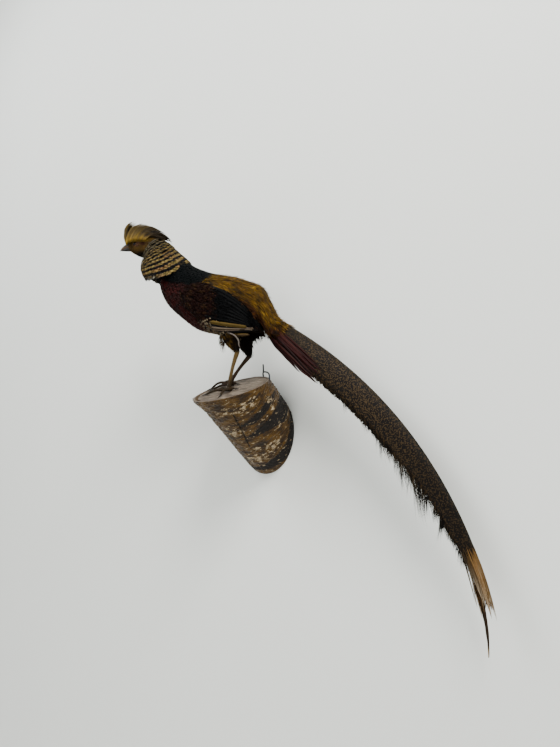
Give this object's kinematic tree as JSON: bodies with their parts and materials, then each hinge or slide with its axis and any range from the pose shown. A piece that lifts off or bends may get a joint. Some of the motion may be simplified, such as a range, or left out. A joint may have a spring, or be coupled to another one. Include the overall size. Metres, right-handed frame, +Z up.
{
  "type": "taxidermy golden pheasant",
  "caption": "Museum mount of a crested cock pheasant with a barred ruff and a long arched tail, standing on a slanting cut log that hangs flat on a wall.",
  "frame": {"origin": "middle of the log's sawn back face, on the wall", "axes": "+Y into the wall, +Z up, +X along the wall towards the tail"},
  "size_m": [0.6609, 0.225, 0.7069],
  "materials": {
    "bill_horn": "smooth horn",
    "claw_horn": "smooth dark horn",
    "glass_eye": "polished",
    "leg_scales": "dry scaled skin",
    "scarlet_plume": "feather",
    "tail_feathers": "feather",
    "thigh_feathers": "feather",
    "wing_feathers": "feather",
    "barred_cape": "feather",
    "golden_crest": "silky feather",
    "head_feathers": "short feather",
    "neck_feathers": "feather",
    "scarlet_breast": "feather",
    "golden_rump": "silky feather",
    "hanger_steel": "dull wire",
    "birch_bark": "varnished bark",
    "sawn_wood": "sawn, weathered"
  },
  "bodies": {
    "root": {"bill_lower": "bill_horn", "bill_upper": "bill_horn", "cape": "barred_cape", "claw_left_1": "claw_horn", "claw_left_2": "claw_horn", "claw_left_3": "claw_horn", "claw_left_4": "claw_horn", "claw_right_1": "claw_horn", "claw_right_2": "claw_horn", "claw_right_3": "claw_horn", "claw_right_4": "claw_horn", "crest": "golden_crest", "eye_left": "glass_eye", "eye_right": "glass_eye", "foot_left": "leg_scales", "foot_right": "leg_scales", "hanger_wire": "hanger_steel", "head": "head_feathers", "log_bark": "birch_bark", "log_wood": "sawn_wood", "neck": "neck_feathers", "plume_left": "scarlet_plume", "plume_right": "scarlet_plume", "rump": "golden_rump", "shank_left": "leg_scales", "shank_right": "leg_scales", "tail_central_left": "tail_feathers", "tail_central_right": "tail_feathers", "tail_outer_left": "tail_feathers", "tail_outer_right": "tail_feathers", "thigh_left": "thigh_feathers", "thigh_right": "thigh_feathers", "trunk": "scarlet_breast", "wing_left": "wing_feathers", "wing_right": "wing_feathers"}
  },
  "joints": []
}
